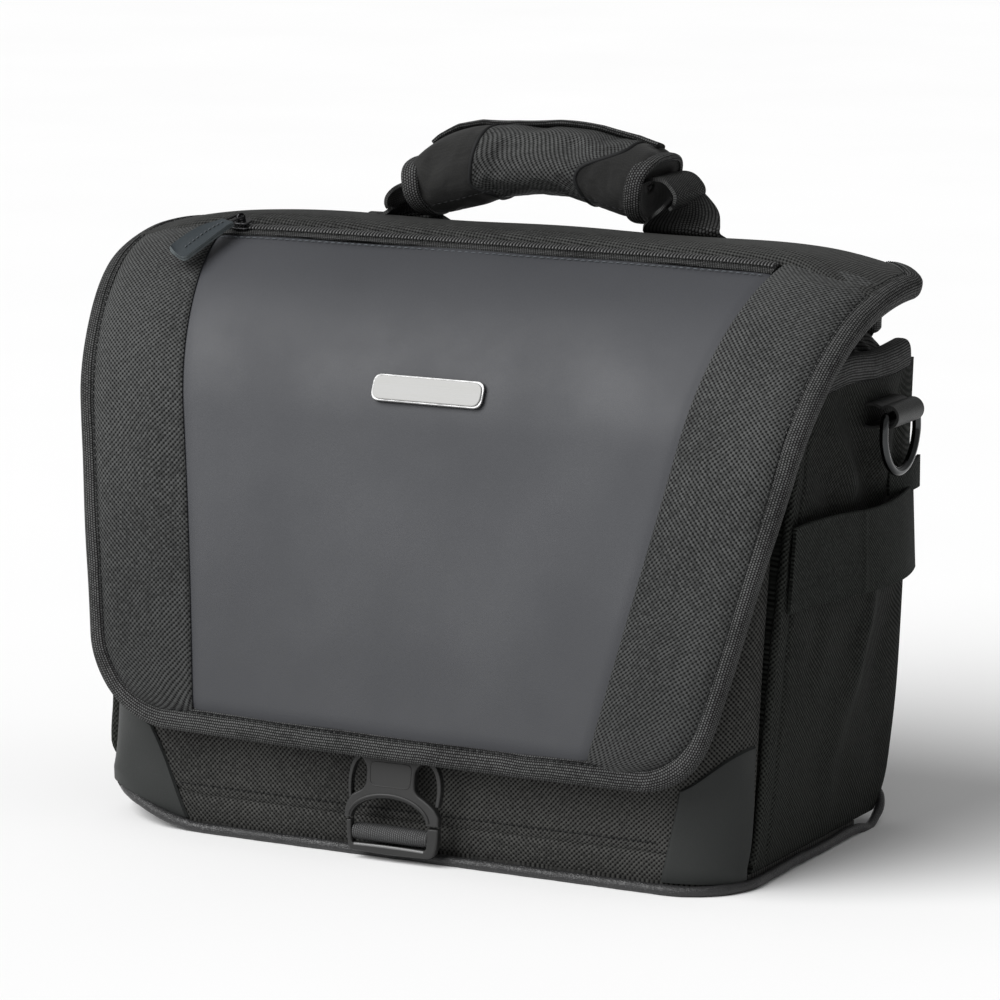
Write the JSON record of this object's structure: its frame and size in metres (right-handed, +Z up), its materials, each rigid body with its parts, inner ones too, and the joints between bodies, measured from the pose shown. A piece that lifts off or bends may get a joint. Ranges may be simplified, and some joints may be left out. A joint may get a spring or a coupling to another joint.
{
  "type": "camera bag",
  "caption": "Messenger camera bag with a padded flap, carrying handle, front buckle, zip across the flap, side straps and rings, and a divided inside.",
  "frame": {"origin": "centre of the base, on the surface that the bag stands on", "axes": "+Z up, -Y towards the front of the flap, +X towards the bag's right as seen from the front"},
  "size_m": [0.4092, 0.212, 0.3274],
  "materials": {
    "ballistic_nylon": "coarse basket weave",
    "board": "matt",
    "piping": "semi-gloss",
    "binding_tape": "ribbed",
    "lining": "brushed",
    "ribbed_fabric": "ribbed",
    "smooth_leatherette": "satin",
    "webbing": "ribbed",
    "foam": "padded",
    "metal": "satin",
    "moulded_plastic": "fine texture",
    "grip_fabric": "padded"
  },
  "bodies": {
    "bag": {"base_panel": "ballistic_nylon", "base_board": "board", "base_piping": "piping", "front_wall": "ballistic_nylon", "back_wall": "ballistic_nylon", "side_wall_left": "ballistic_nylon", "side_wall_right": "ballistic_nylon", "divider_left": "lining", "divider_right": "lining", "hinge_tape": "ballistic_nylon", "rim_binding": "binding_tape", "dust_ear_left": "ribbed_fabric", "dust_ear_right": "ribbed_fabric", "pocket_gusset": "ballistic_nylon", "pocket_front": "ballistic_nylon", "corner_patch_left": "smooth_leatherette", "corner_patch_right": "smooth_leatherette", "pocket_binding": "binding_tape", "side_band_left": "webbing", "side_band_right": "webbing", "ring_loop_left": "smooth_leatherette", "ring_loop_right": "smooth_leatherette", "trolley_sleeve": "ballistic_nylon", "base_strap": "webbing"},
    "flap": {"flap_pad": "foam", "flap_lining": "lining", "flap_centre_panel": "smooth_leatherette", "flap_side_panel_left": "ballistic_nylon", "flap_side_panel_right": "ballistic_nylon", "flap_top_panel": "ballistic_nylon", "flap_binding": "binding_tape", "zip_tape": "ballistic_nylon", "zip_coil": "moulded_plastic", "badge": "metal", "handle_anchor_left": "webbing", "handle_anchor_right": "webbing", "anchor_roll_left": "webbing", "anchor_roll_right": "webbing", "buckle_tab": "webbing", "buckle_plate": "moulded_plastic"},
    "handle": {"handle_grip": "grip_fabric", "handle_strap_left": "webbing", "handle_strap_right": "webbing"},
    "slider": {"zip_slider": "metal", "slider_lug": "metal"},
    "pull": {"pull_link": "metal", "pull_tab": "smooth_leatherette"},
    "arm_left": {"release_arm_left": "moulded_plastic"},
    "arm_right": {"release_arm_right": "moulded_plastic"},
    "lower_buckle": {"buckle_frame": "moulded_plastic", "frame_webbing": "webbing"},
    "ring_left": {"d_ring_left": "metal"},
    "ring_right": {"d_ring_right": "metal"}
  },
  "joints": [
    {"name": "flap_hinge", "type": "hinge", "parent": "bag", "child": "flap", "pos_m": [0, 0.0895, 0.231], "axis": [-1, 0, 0], "range_deg": [0, 150]},
    {"name": "handle_hinge", "type": "hinge", "parent": "flap", "child": "handle", "pos_m": [0, 0.045, 0.2822], "axis": [-1, 0, 0], "range_deg": [-30, 50]},
    {"name": "zip_slide", "type": "slide", "parent": "flap", "child": "slider", "axis": [1, 0, 0], "range_m": [0, 0.274]},
    {"name": "pull_hinge", "type": "hinge", "parent": "slider", "child": "pull", "pos_m": [-0.137, -0.00673, 0.28041], "axis": [-0.9272, 0.3601, 0.1034], "range_deg": [0, 120]},
    {"name": "arm_left_squeeze", "type": "hinge", "parent": "flap", "child": "arm_left", "pos_m": [-0.02, -0.10429, 0.04799], "axis": [0, -0.9925, 0.1219], "range_deg": [0, 5], "stiffness_Nm_per_rad": 0.2},
    {"name": "arm_right_squeeze", "type": "hinge", "parent": "flap", "child": "arm_right", "pos_m": [0.02, -0.10429, 0.04799], "axis": [0, 0.9925, -0.1219], "range_deg": [0, 5], "stiffness_Nm_per_rad": 0.2},
    {"name": "lower_buckle_hinge", "type": "hinge", "parent": "bag", "child": "lower_buckle", "pos_m": [0, -0.1078, 0.005], "axis": [1, 0, 0], "range_deg": [0, 85]},
    {"name": "ring_left_hinge", "type": "hinge", "parent": "bag", "child": "ring_left", "pos_m": [-0.1862, 0.046, 0.202], "axis": [0, 1, 0], "range_deg": [-10, 150]},
    {"name": "ring_right_hinge", "type": "hinge", "parent": "bag", "child": "ring_right", "pos_m": [0.1862, 0.046, 0.202], "axis": [0, -1, 0], "range_deg": [-10, 150]}
  ]
}
